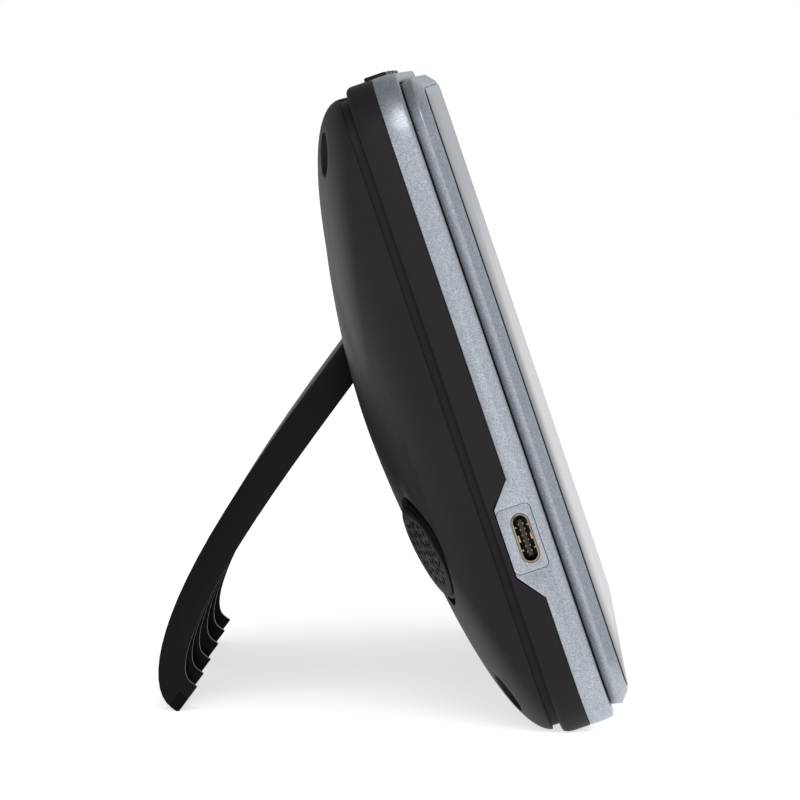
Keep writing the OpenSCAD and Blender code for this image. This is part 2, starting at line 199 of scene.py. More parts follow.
@dataclass(frozen=True)
class FlakeLacquer(Finish):
    """Silver lacquer over plastic: aluminium flakes under a thin clear coat.

    Attributes:
        flake: sRGB hex colour of a flake that faces the eye.
        flake_mm: size of a flake, drawn coarser than the real 0.05 mm so that it shows.
        contrast: how much of the flake colour shows.
        clump: size of a clump of flakes, in flakes.
        tip_strength: how strongly the flakes' tilt shows.
        tip_mm: height of a flake's tilt.
    """

    flake: str = "e2e6ea"
    flake_mm: float = 0.13
    contrast: float = 0.9
    clump: float = 2.2
    tip_strength: float = 0.4
    tip_mm: float = 0.012

    def dress(self, tree: bpy.types.NodeTree, place: bpy.types.NodeSocket, shader: bpy.types.Node) -> None:
        """Speckles the colour and tips each flake a little, which gives the lacquer its sparkle.

        Args:
            tree: the material's node tree.
            place: object coordinates, in metres.
            shader: the principled shader.
        """
        super().dress(tree, place, shader)
        flakes = add_node(tree, "ShaderNodeTexVoronoi", {"Scale": per_metre(self.flake_mm)}, {"Vector": place})
        clumps = add_node(tree, "ShaderNodeTexNoise",
                          {"Scale": per_metre(self.flake_mm * self.clump), "Detail": 3.0}, {"Vector": place})
        single = add_node(tree, "ShaderNodeSeparateColor", links={"Color": flakes.outputs["Color"]})
        speckle = add_node(tree, "ShaderNodeMath", {"operation": "MULTIPLY"},
                           {0: single.outputs["Red"], 1: clumps.outputs["Fac"]})
        share = add_node(tree, "ShaderNodeMath", {"operation": "MULTIPLY", 1: self.contrast},
                         {0: speckle.outputs["Value"]})
        colour = add_node(tree, "ShaderNodeMix", {"data_type": "RGBA", 6: srgb(self.base), 7: srgb(self.flake)},
                          {0: share.outputs["Value"]})
        tips = add_node(tree, "ShaderNodeBump",
                        {"Strength": self.tip_strength, "Distance": self.tip_mm * MM},
                        {"Height": single.outputs["Green"]})
        tree.links.new(colour.outputs[2], shader.inputs["Base Color"])
        tree.links.new(tips.outputs["Normal"], shader.inputs["Normal"])


@dataclass(frozen=True)
class PrintedLaminate(Finish):
    """Circuit laminate: solder mask with faint copper runs under it.

    Attributes:
        run: sRGB hex colour over the copper.
        run_mm: distance between two runs.
        gap_share: share of that distance without copper.
        bend: how far the runs bend.
    """

    run: str = "2f7a4a"
    run_mm: float = 1.6
    gap_share: float = 0.72
    bend: float = 3.0

    def dress(self, tree: bpy.types.NodeTree, place: bpy.types.NodeSocket, shader: bpy.types.Node) -> None:
        """Lays the copper runs over the plain mask.

        Args:
            tree: the material's node tree.
            place: object coordinates, in metres.
            shader: the principled shader.
        """
        super().dress(tree, place, shader)
        scale = per_metre(self.run_mm) / WAVES_IN_A_UNIT
        bent = add_node(tree, "ShaderNodeTexWave",
                        {"Scale": scale, "Distortion": self.bend, "Detail": 0.0}, {"Vector": place})
        edge = add_node(tree, "ShaderNodeMath", {"operation": "GREATER_THAN", 1: self.gap_share},
                        {0: bent.outputs["Fac"]})
        colour = add_node(tree, "ShaderNodeMix", {"data_type": "RGBA", 6: srgb(self.base), 7: srgb(self.run)},
                          {0: edge.outputs["Value"]})
        tree.links.new(colour.outputs[2], shader.inputs["Base Color"])


# Spark-eroded ABS: a fine even grain that spreads every highlight into a soft sheen
COVER_ABS = Finish("charcoal_abs_spark_eroded", "211e22", "252226", roughness=0.5, spread=0.04,
                   grain_mm=0.34, relief_mm=0.007, patch_mm=22, specular=0.1)
# Injection-moulded ABS from a polished tool: darker and glossier than the cover; also laid on the bezel's
# tongue as painted shade in the seam between bezel and band
STAND_ABS = Finish("black_abs_satin_moulded", "110e0f", "151213", roughness=0.38, spread=0.05,
                   grain_mm=0.5, relief_mm=0.003, patch_mm=18, specular=0.08)
# Silver lacquer, sprayed: grey with a fine metallic speckle
BAND_LACQUER = FlakeLacquer("silver_lacquer_sprayed", "8a9097", "959ba1", roughness=0.4, spread=0.03,
                            metallic=0.8, coat=0.1, relief_mm=0.002)
# Aluminosilicate cover glass, polished, with a black print behind it
LENS_GLASS = Finish("cover_glass_polished_black", "050608", "07080b", roughness=0.16, spread=0.01,
                    grain_mm=30, relief_mm=0.0005, patch_mm=40, specular=0.3, mirror_tint="cdd5dc")
# The panel's window behind the glass: a touch lighter than the print around it
WINDOW_GLASS = Finish("cover_glass_over_panel", "0d0f13", "101318", roughness=0.17, spread=0.01,
                      grain_mm=30, relief_mm=0.0005, patch_mm=60, specular=0.3, mirror_tint="cdd5dc")
# Moulded ABS key caps, lightly polished by fingers
KEY_ABS = Finish("black_abs_key_caps", "121112", "1b1a1b", roughness=0.4, spread=0.08, patch_mm=5,
                 grain_mm=0.3, relief_mm=0.003, specular=0.15)
# Grille of the same ABS as the cover, a shade glossier on its rim
GRILLE_ABS = Finish("charcoal_abs_grille", "0e0b0c", "120f10", roughness=0.45, spread=0.05,
                    grain_mm=0.34, relief_mm=0.006, patch_mm=8, specular=0.05)
# Thermoplastic rubber: matt, with a fine pebble
FOOT_RUBBER = Finish("black_rubber_moulded", "0c0b0b", "121111", roughness=0.8, spread=0.06,
                     grain_mm=0.3, relief_mm=0.01, patch_mm=4, specular=0.05)
# Nickel-plated steel of the socket's shell, drawn from sheet
SOCKET_STEEL = Finish("nickel_plated_steel", "a0937f", "857a6b", roughness=0.24, spread=0.08, metallic=1.0,
                      grain_mm=0.25, relief_mm=0.003, patch_mm=1.5)
# Glass-filled nylon of the socket's tongue
TONGUE_NYLON = Finish("nylon_tongue_moulded", "1d1b1c", "272526", roughness=0.5, grain_mm=0.2,
                      relief_mm=0.004, patch_mm=2)
# Gold-plated contacts
CONTACT_GOLD = Finish("gold_plated_contacts", "cdb08a", "b3926a", roughness=0.22, metallic=1.0,
                      grain_mm=0.2, relief_mm=0.001, patch_mm=0.6)
# Black zinc on steel: dull, with worn bright points
SCREW_ZINC = Finish("black_zinc_steel", "2d2d2f", "4a4a4c", roughness=0.38, spread=0.1, metallic=1.0,
                    grain_mm=0.2, relief_mm=0.004, patch_mm=1.2)
# Ground steel of the hinge: fine turning marks
HINGE_STEEL = Finish("ground_steel", "9b9da0", "85878a", roughness=0.28, spread=0.08, metallic=1.0,
                     grain_mm=0.18, relief_mm=0.004, patch_mm=3)
# Tinned sheet of the shield and the backlight's tray
TINNED_SHEET = Finish("tinned_steel_sheet", "b3b5b7", "9fa2a5", roughness=0.33, spread=0.1, metallic=1.0,
                      grain_mm=0.4, relief_mm=0.004, patch_mm=9)
# Green solder mask over copper runs
BOARD_MASK = PrintedLaminate("glass_epoxy_green_mask", "123f25", "15482b", roughness=0.3, grain_mm=0.6,
                             relief_mm=0.004, patch_mm=12)
# Moulded epoxy of the chips
CHIP_EPOXY = Finish("chip_epoxy_moulded", "18181a", "222224", roughness=0.55, grain_mm=0.15,
                    relief_mm=0.004, patch_mm=3)
# Aluminium laminate pouch, creased a little
POUCH_FOIL = Finish("pouch_foil_laminated", "8d99a5", "7b8793", roughness=0.3, metallic=0.9, grain_mm=6,
                    relief_mm=0.12, patch_mm=10)
# Polyimide film of the ribbon
RIBBON_FILM = Finish("polyimide_film", "a8652a", "8f5522", roughness=0.25, grain_mm=2, relief_mm=0.01)
# Foam tape
GASKET_FOAM = Finish("closed_cell_foam", "121212", "1c1c1c", roughness=0.9, grain_mm=0.5, relief_mm=0.05)
# Moulded switch housings
SWITCH_NYLON = Finish("pale_nylon_moulded", "cfcfc8", "c2c2bb", roughness=0.5, grain_mm=0.3, relief_mm=0.004)
# Pressed aluminium of the speaker's basket
BASKET_METAL = Finish("pressed_aluminium", "9a9da1", "888b8f", roughness=0.3, metallic=1.0, patch_mm=4)

NODE_FINISHES: dict[str, Finish] = {
    "lens_gasket": GASKET_FOAM, "lcd_panel": WINDOW_GLASS, "lcd_backlight": TINNED_SHEET,
    "lcd_flex_cable": RIBBON_FILM, "main_board": BOARD_MASK, "processor_shield": TINNED_SHEET,
    "memory_chips": CHIP_EPOXY, "radio_module": BOARD_MASK, "battery_pack": POUCH_FOIL,
    "speaker_driver": BASKET_METAL, "speaker_gasket": GASKET_FOAM, "key_board": BOARD_MASK,
    "key_switches": SWITCH_NYLON, "hinge_pin": HINGE_STEEL, "hinge_brackets": HINGE_STEEL,
    "friction_washers": TINNED_SHEET, "bracket_screws": HINGE_STEEL, "board_screws": HINGE_STEEL,
}


# ---------------------------------------------------------------- shape helpers


class Cut(Enum):
    """How a tool solid changes the solid it meets."""

    AWAY = "DIFFERENCE"
    ON = "UNION"


@dataclass(frozen=True)
class Ring:
    """One rounded outline of a housing shell.

    Attributes:
        depth: how far it lies behind the glass.
        half_x: half width.
        half_z: half height.
        radius: corner radius.
        mid_z: height of its middle.
    """

    depth: float
    half_x: float
    half_z: float
    radius: float
    mid_z: float = 0.0

    def point(self, side_x: int, side_z: int, along: Vector) -> Vector:
        """Place on the ring, in a corner given by its sides and a direction from the corner's centre."""
        return Vector((side_x * (self.half_x - self.radius) + self.radius * along.x, self.depth,
                       self.mid_z + side_z * (self.half_z - self.radius) + self.radius * along.z))


@dataclass
class Housing:
    """Sizes that the shells share, and the housing's leaning place in the world."""

    half_w: float = 94.0
    half_h: float = 60.2
    corner_r: float = 12.0
    lean_deg: float = 18.8
    strip_y: float = 11.3
    split_y: float = 8.6
    rim_back_y: float = 13.6
    dome_base_y: float = 15.2
    dome_rise: float = 14.9
    dome_inset: float = 1.4
    dome_flat_x: float = 59.8
    dome_shoulder: float = 32.8
    dome_crest_z: float = 3.7
    dome_full_top: float = 0.578
    dome_full_low: float = 0.531
    leg_rise: float = 14.85
    leg_full: float = 0.64
    leg_crest_z: float = 9.8
    dome_corner_r: float = 10.6
    dome_corner_growth: float = 30.0
    key_centres: tuple[float, ...] = (-42.0, -14.0, 14.0, 42.0)
    key_half_w: float = 10.2
    key_half_d: float = 2.3
    step_reach: float = 3.7
    step_base: tuple[float, float] = (10.8, -11.0)
    step_tip: tuple[float, float] = (6.4, -6.2)
    wall: float = 2.0
    inner_inset: float = 2.4
    lens_inset: float = 4.4
    pivot_y: float = 25.2
    pivot_z: float = 14.5
    socket_drop: float = 24.1
    place: Matrix = field(default_factory=Matrix)

    def __post_init__(self) -> None:
        """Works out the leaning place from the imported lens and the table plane."""
        lean = math.radians(self.lean_deg)
        face_z = self.half_h * math.cos(lean) + self.strip_y * math.sin(lean)
        lens_low_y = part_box("front_lens")[0][1] / MM
        face_y = lens_low_y + (self.half_h - self.lens_inset) * math.sin(lean)
        self.place = (Matrix.Scale(MM, 4) @ Matrix.Translation((0, face_y, face_z))
                      @ Matrix.Rotation(-lean, 4, "X"))

    def band_ring(self, depth: float, inset: float) -> Ring:
        """Ring of the housing's outline at a depth, drawn in by inset."""
        return Ring(depth, self.half_w - inset, self.half_h - inset, max(self.corner_r - inset, 0.6))

    def dome_ring(self, level: float, inset: float, depth: float | None = None) -> Ring:
        """Ring of the dome.

        Args:
            level: 0 at the dome's base and 1 at its crest.
            inset: how far the ring is drawn in, for the inside of a wall.
            depth: the ring's depth, where it isn't the dome's own.

        Returns:
            The ring at that level.
        """
        fall = 1 - level * level
        half = self.half_h - self.dome_inset
        top_z = self.dome_crest_z + (half - self.dome_crest_z) * fall ** self.dome_full_top
        low_z = self.dome_crest_z - (half + self.dome_crest_z) * fall ** self.dome_full_low
        half_z = max((top_z - low_z) / 2 - inset, 1.2)
        own_depth = self.dome_base_y + (self.dome_rise - inset) * level
        corner_r = self.dome_corner_r + self.dome_corner_growth * level
        return Ring(own_depth if depth is None else depth,
                    self.dome_flat_x + self.dome_shoulder * math.sqrt(fall) - inset, half_z,
                    max(min(corner_r - inset, half_z - 0.05), 0.5), (top_z + low_z) / 2)

    def stand_curve(self, inset: float, steps: int = 24) -> list[tuple[float, float]]:
        """Curve of the stand's outer face, from its foot up, as depth and height pairs.

        Args:
            inset: how far the curve is drawn in.
            steps: number of stretches.

        Returns:
            The curve's points.
        """
        half = self.half_h - self.dome_inset + self.leg_crest_z - inset
        turns = [math.pi / 2 * i / steps for i in range(steps + 1)]
        return [(self.dome_base_y + (self.leg_rise - inset) * math.sin(t),
                 self.leg_crest_z - half * max(math.cos(t), 0.0) ** self.leg_full) for t in turns]


def loft(rings: Sequence[Ring], corner_steps: int = 20) -> bmesh.types.BMesh:
    """Builds a closed solid through rounded outlines.

    Args:
        rings: the outlines from front to back.
        corner_steps: segments in each rounded corner.

    Returns:
        The solid, in housing millimetres.
    """
    bm = bmesh.new()
    first = rings[0]
    bmesh.ops.create_grid(bm, x_segments=1, y_segments=1, size=1.0)
    to_ring = (Matrix.Translation((0, first.depth, first.mid_z)) @ Matrix.Rotation(math.pi / 2, 4, "X")
               @ Matrix.Diagonal((first.half_x, first.half_z, 1, 1)))
    bmesh.ops.transform(bm, matrix=to_ring, verts=bm.verts)
    bmesh.ops.bevel(bm, geom=list(bm.verts), offset=first.radius, segments=corner_steps, profile=0.5,
                    affect="VERTICES", material=-1)
    face = max(bm.faces, key=lambda f: f.calc_area())
    corners = []
    for vert in face.verts:
        side_x = 1 if vert.co.x > 0 else -1
        side_z = 1 if vert.co.z > first.mid_z else -1
        centre = Vector((side_x * (first.half_x - first.radius), first.depth,
                         first.mid_z + side_z * (first.half_z - first.radius)))
        corners.append((side_x, side_z, (vert.co - centre) / first.radius))
    for ring in rings[1:]:
        grown = bmesh.ops.extrude_face_region(bm, geom=[face])
        new_face = next(g for g in grown["geom"] if isinstance(g, bmesh.types.BMFace))
        if face.is_valid and face is not new_face and ring is not rings[1]:
            bmesh.ops.delete(bm, geom=[face], context="FACES_ONLY")
        face = new_face
        for vert, (side_x, side_z, along) in zip(list(face.verts), corners):
            vert.co = ring.point(side_x, side_z, along)
    bmesh.ops.recalc_face_normals(bm, faces=bm.faces)
    return bm


def prism(points: Iterable[tuple[float, float]], x0: float, x1: float) -> bmesh.types.BMesh:
    """Extrudes a depth and height outline across the width.

    Args:
        points: the outline's corners, as depth and height pairs.
        x0: where it starts.
        x1: where it ends.

    Returns:
        The solid.
    """
    bm = bmesh.new()
    face = bm.faces.new([bm.verts.new((x0, y, z)) for y, z in points])
    side = bmesh.ops.extrude_face_region(bm, geom=[face])
    moved = [g for g in side["geom"] if isinstance(g, bmesh.types.BMVert)]
    bmesh.ops.translate(bm, verts=moved, vec=(x1 - x0, 0, 0))
    bmesh.ops.recalc_face_normals(bm, faces=bm.faces)
    return bm


def drum(radius: float, length: float, turn: Matrix, sides: int = 64) -> bmesh.types.BMesh:
    """Cylinder whose axis starts as Z and is then placed.

    Args:
        radius: its radius.
        length: its length.
        turn: its place.
        sides: segments around it.

    Returns:
        The solid.
    """
    bm = bmesh.new()
    bmesh.ops.create_cone(bm, cap_ends=True, segments=sides, radius1=radius, radius2=radius, depth=length,
                          matrix=turn)
    return bm


def brick(low: Sequence[float], high: Sequence[float]) -> bmesh.types.BMesh:
    """Cuboid between two corners.

    Args:
        low: the corner with the smallest coordinates.
        high: the opposite corner.

    Returns:
        The solid.
    """
    bm = bmesh.new()
    size = Vector(high) - Vector(low)
    middle = (Vector(high) + Vector(low)) / 2
    bmesh.ops.create_cube(bm, size=1.0, matrix=Matrix.Translation(middle) @ Matrix.Diagonal((*size, 1)))
    return bm


class Part:
    """A solid that tools cut and join, and that becomes one finished piece."""

    def __init__(self, name: str, solid: bmesh.types.BMesh) -> None:
        """Keeps the solid in a new object.

        Args:
            name: the piece's name.
            solid: its mesh, which this call frees.
        """
        mesh = bpy.data.meshes.new(name)
        solid.to_mesh(mesh)
        solid.free()
        self.piece = bpy.data.objects.new(name, mesh)
        bpy.context.scene.collection.objects.link(self.piece)

    def work(self, tool: "bmesh.types.BMesh | Part", cut: Cut = Cut.AWAY) -> "Part":
        """Cuts with or joins another solid, then removes it.

        Args:
            tool: the other solid.
            cut: how the two meet.

        Returns:
            This part.
        """
        other = tool if isinstance(tool, Part) else Part("tool", tool)
        meet = self.piece.modifiers.new("meet", "BOOLEAN")
        meet.operation = cut.value
        meet.solver = "EXACT"
        meet.object = other.piece
        settled = self.piece.evaluated_get(bpy.context.evaluated_depsgraph_get())
        mesh = bpy.data.meshes.new_from_object(settled)
        self.piece.modifiers.clear()
        old = self.piece.data
        self.piece.data = mesh
        bpy.data.meshes.remove(old)
        shape = other.piece.data
        bpy.data.objects.remove(other.piece)
        bpy.data.meshes.remove(shape)
        return self

    def finish(
        self, place: Matrix, finish: Finish, soften_mm: float, sharp_deg: float = 32.0
    ) -> bpy.types.Object:
        """Places the mesh in the world, rounds its edges and gives it its finish.

        Args:
            place: housing millimetres to world metres.
            finish: the surface finish.
            soften_mm: width of the rounded edges, or 0 for none.
            sharp_deg: edges that turn more than this are rounded and shaded as edges.

        Returns:
            The finished object.
        """
        bm = bmesh.new()
        bm.from_mesh(self.piece.data)
        bmesh.ops.remove_doubles(bm, verts=bm.verts, dist=MERGE_MM * MM / place.median_scale)
        bmesh.ops.transform(bm, matrix=place, verts=bm.verts)
        if soften_mm > 0:
            soften(bm, soften_mm, sharp_deg)
        bm.to_mesh(self.piece.data)
        bm.free()
        shade(self.piece, sharp_deg)
        self.piece.data.materials.clear()
        self.piece.data.materials.append(finish.material())
        return self.piece


def soften(bm: bmesh.types.BMesh, width_mm: float, sharp_deg: float) -> None:
    """Rounds the sharp edges of a mesh in metres.

    Args:
        bm: the mesh.
        width_mm: width of the rounded edges.
        sharp_deg: the turn above which an edge is rounded.
    """
    bmesh.ops.dissolve_limit(bm, angle_limit=math.radians(FLAT_DEG), verts=bm.verts, edges=bm.edges)
    sharp = [e for e in bm.edges if len(e.link_faces) == 2
             and e.calc_face_angle(0) > math.radians(sharp_deg)]
    bmesh.ops.bevel(bm, geom=sharp, offset=width_mm * MM, segments=2, profile=0.5, affect="EDGES",
                    material=-1, clamp_overlap=True)


def shade(piece: bpy.types.Object, sharp_deg: float) -> None:
    """Shades a piece smooth, apart from edges that turn by more than sharp_deg."""
    piece.data.shade_smooth()
    piece.data.set_sharp_from_angle(angle=math.radians(sharp_deg))


def refined(node: str, finish: Finish, soften_mm: float, sharp_deg: float = 32.0) -> bpy.types.Object:
    """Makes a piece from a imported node's own shape, with rounded edges.

    Args:
        node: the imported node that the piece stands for.
        finish: its surface finish.
        soften_mm: width of the rounded edges.
        sharp_deg: the turn above which an edge is rounded.

    Returns:
        The new piece, riding on the node's body.
    """
    bm = bmesh.new()
    source = frame["nodes"][node]
    bm.from_mesh(source.data)
    bmesh.ops.remove_doubles(bm, verts=bm.verts, dist=0.001 * MM)
    piece = Part(node + "_moulded", bm).finish(Matrix.Identity(4), finish, soften_mm, sharp_deg)
    adopt(piece, body_of(node), node)
    return piece


def body_of(node: str) -> str:
    """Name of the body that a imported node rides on."""
    return next(body for body, nodes in frame["record"]["behaviour"]["bodies"].items() if node in nodes)


def adopt(piece: bpy.types.Object, body: str, *nodes: str) -> None:
    """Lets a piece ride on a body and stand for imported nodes, and reports it.

    Args:
        piece: the piece.
        body: the body that carries it.
        nodes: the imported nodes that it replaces.
    """
    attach(piece, body)
    if nodes:
        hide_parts(*nodes)
    log.info("%s rides on %s: %d faces", piece.name, body, len(piece.data.polygons))


# ---------------------------------------------------------------- sub-assemblies


@dataclass
class RearCover:
    """Black rear moulding: rim, neck, long dome, stand pocket and round recesses."""

    housing: Housing
    neck_inset: float = 2.0
    edge_round: float = 1.2
    screw_x: float = 80.0
    screw_z: float = 50.4
    screw_seat_y: float = 17.4
    recess_r: float = 3.8
    pocket_half_x: float = 58.6
    pocket_depth: float = 6.85
    trough_r: float = 5.9
    post_y: float = 11.5
    hinge_screw_x: float = 44.0
    hinge_screw_y: float = 23.1
    speaker_seat: Vector = field(default_factory=lambda: Vector((-77, 25.4, -22.2)))
    speaker_tilt_deg: float = 15.0
    speaker_dip_deg: float = -8.0
    speaker_r: float = 9.5
    screw_hole_r: float = 1.45
    screw_post_r: float = 5.4
    boss_r: float = 3.0
    boss_bore_r: float = 0.9
    boss_sink_r: float = 2.1
    boss_drop: float = 13.5
    seat_r: float = 12.4
    sound_bore_r: float = 9.6
    sound_hole_r: float = 7.4
    grille_gap: float = 1.1
    neck_hollow_y: float = 12.0
    pocket_wall: float = 1.7
    pocket_low: float = 20.0
    boss_y: float = 16.0
    boss_bore_y: float = 10.0
    boss_end_y: float = 30.0
    clear_y: float = 40.0
    far_y: float = 46.0
    crest_level: float = 0.9985
    levels: int = 36

    def speaker_place(self) -> Matrix:
        """Seat of the speaker disc, with the disc's axis along depth.

        Returns:
            The seat's place, in housing millimetres.
        """
        tilt = Matrix.Rotation(math.radians(self.speaker_tilt_deg), 4, "Z")
        dip = Matrix.Rotation(math.radians(self.speaker_dip_deg), 4, "X")
        return Matrix.Translation(self.speaker_seat) @ tilt @ dip

    def dome_levels(self) -> list[float]:
        """Levels of the dome's rings, closer together towards the crest."""
        turns = [math.pi / 2 * i / self.levels for i in range(self.levels + 1)]
        return [math.sin(turn) * self.crest_level for turn in turns]

    def outside(self) -> bmesh.types.BMesh:
        """Outer skin as one closed solid, from the joint with the band to the crest.

        Returns:
            The solid.
        """
        h = self.housing
        rings = [h.band_ring(h.split_y, 0.12), h.band_ring(h.split_y + 0.15, 0.0)]
        for i in range(6):
            turn = math.pi / 2 * i / 5
            rings.append(h.band_ring(h.rim_back_y - self.edge_round * (1 - math.sin(turn)),
                                     self.edge_round * (1 - math.cos(turn))))
        rings.append(h.band_ring(h.rim_back_y, self.neck_inset - 0.08))
        rings.append(h.band_ring(h.rim_back_y + 0.08, self.neck_inset))
        rings.append(h.band_ring(h.dome_base_y - 0.12, self.neck_inset + 0.02))
        rings.append(h.band_ring(h.dome_base_y - 0.1, h.dome_inset + 0.1))
        rings += [h.dome_ring(level, 0.0) for level in self.dome_levels()]
        return loft(rings)

    def hollow(self) -> Part:
        """Space inside the wall, clear of the pocket, the screw posts and the speaker seat.

        Returns:
            The space as a solid.
        """
        h = self.housing
        rings = [h.band_ring(h.split_y - 1, h.inner_inset), h.band_ring(self.neck_hollow_y, h.inner_inset),
                 h.dome_ring(0.0, h.wall, self.neck_hollow_y + 0.05)]
        rings += [h.dome_ring(level, h.wall) for level in self.dome_levels()[2::2]]
        space = Part("hollow", loft(rings, 10))
        space.work(self.pocket(self.pocket_wall))
        for x in (-self.screw_x, self.screw_x):
            for z in (-self.screw_z, self.screw_z):
                space.work(self.depth_drum(x, z, self.screw_post_r, self.post_y, self.clear_y))
        for x in (-self.hinge_screw_x, self.hinge_screw_x):
            z = h.pivot_z - self.boss_drop
            space.work(self.depth_drum(x, z, self.boss_r, self.boss_y, self.boss_end_y))
        seat = Part("seat", self.speaker_drum(self.seat_r, -6, 20))
        space.work(seat.work(self.speaker_drum(self.sound_bore_r, -7, -2.4)))
        return space

    def pocket(self, grow: float) -> bmesh.types.BMesh:
        """Space that the folded stand fills.

        Args:
            grow: how much it is grown on every side.

        Returns:
            The space as a solid.
        """
        h = self.housing
        half = self.pocket_half_x + grow
        radius = self.trough_r + grow
        foot_y = h.rim_back_y - 0.3 - grow
        floor = h.stand_curve(self.pocket_depth + grow)
        start = math.asin(min(1.0, (h.pivot_y - floor[-1][0]) / radius))
        join_z = h.pivot_z - radius * math.cos(start)
        turns = [start + (math.pi - start) * i / 28 for i in range(29)]
        outline = [(foot_y, floor[0][1])] + [(y, z) for y, z in floor if z < join_z - 0.5]
        outline += [(h.pivot_y - radius * math.sin(t), h.pivot_z - radius * math.cos(t)) for t in turns]
        low_z = floor[0][1] - self.pocket_low
        outline += [(self.far_y, h.pivot_z + radius), (self.far_y, low_z), (foot_y, low_z)]
        return prism(outline, -half, half)

    def depth_drum(self, x: float, z: float, radius: float, y0: float, y1: float) -> bmesh.types.BMesh:
        """Cylinder along the depth at a place on the screen plane."""
        turn = Matrix.Translation((x, (y0 + y1) / 2, z)) @ Matrix.Rotation(math.pi / 2, 4, "X")
        return drum(radius, y1 - y0, turn)

    def speaker_drum(self, radius: float, y0: float, y1: float) -> bmesh.types.BMesh:
        """Cylinder square to the speaker's seat."""
        middle = Matrix.Translation((0, (y0 + y1) / 2, 0))
        return drum(radius, y1 - y0, self.speaker_place() @ middle @ Matrix.Rotation(math.pi / 2, 4, "X"), 96)

    def build(self) -> bpy.types.Object:
        """Models the cover and dresses it.

        Returns:
            The finished cover.
        """
        h = self.housing
        cover = Part("rear_cover_shell", self.outside())
        cover.work(self.pocket(0.0))
        cover.work(self.hollow())
        for x in (-self.screw_x, self.screw_x):
            for z in (-self.screw_z, self.screw_z):
                cover.work(self.depth_drum(x, z, self.recess_r, self.screw_seat_y, self.clear_y))
                cover.work(self.depth_drum(x, z, self.screw_hole_r, h.split_y - 2, self.clear_y))
        cover.work(self.speaker_drum(self.speaker_r + self.grille_gap, -1.6, 20))
        cover.work(self.speaker_drum(self.sound_hole_r, -20, 5))
        for x in (-self.hinge_screw_x, self.hinge_screw_x):
            z = h.pivot_z - self.boss_drop
            cover.work(self.depth_drum(x, z, self.boss_bore_r, self.boss_bore_y, self.boss_end_y))
            cover.work(self.depth_drum(x, z, self.boss_sink_r, self.hinge_screw_y, self.boss_end_y))
        cover.work(socket_step(h, -h.half_w - 1, -h.half_w + 6, 0.12))
        for slot in key_slots(h):
            cover.work(slot)
        cover.work(table_plane(h))
        piece = cover.finish(h.place, COVER_ABS, 0.22, 38)
        adopt(piece, "housing", "rear_cover")
        return piece


def socket_step(h: Housing, x0: float, x1: float, grow: float) -> bmesh.types.BMesh:
    """Part of the band that reaches back around the charging socket.

    Args:
        h: the housing's sizes.
        x0: where it starts along the width.
        x1: where it ends.
        grow: how much it is grown, for the cover's matching cut-out.

    Returns:
        The solid.
    """
    y, z, tip_y = h.split_y, -h.socket_drop, h.split_y + h.step_reach + grow
    base_top, base_low = z + h.step_base[0] + grow, z + h.step_base[1] - grow
    tip_top, tip_low = z + h.step_tip[0] + grow, z + h.step_tip[1] - grow
    outline = [(y - 1, base_top), (y, base_top), (tip_y, tip_top), (tip_y, tip_low), (y, base_low),
               (y - 1, base_low)]
    return prism(outline, x0, x1)


def key_slots(h: Housing) -> list[bmesh.types.BMesh]:
    """Slots of the keys in the top edge.

    Args:
        h: the housing's sizes.

    Returns:
        One solid for each slot.
    """
    y0, y1 = h.split_y - h.key_half_d, h.split_y + h.key_half_d
    return [brick((x - h.key_half_w, y0, h.half_h - 8), (x + h.key_half_w, y1, h.half_h + 5))
            for x in h.key_centres]


def table_plane(h: Housing) -> bmesh.types.BMesh:
    """Everything under the table plane, in housing millimetres, for the flat resting strip.

    Args:
        h: the housing's sizes.

    Returns:
        The solid.
    """
    below = brick((-300, -300, -60), (300, 300, 0))
    to_housing = h.place.inverted() @ Matrix.Scale(MM, 4)
    bmesh.ops.transform(below, matrix=to_housing, verts=below.verts)
    return below


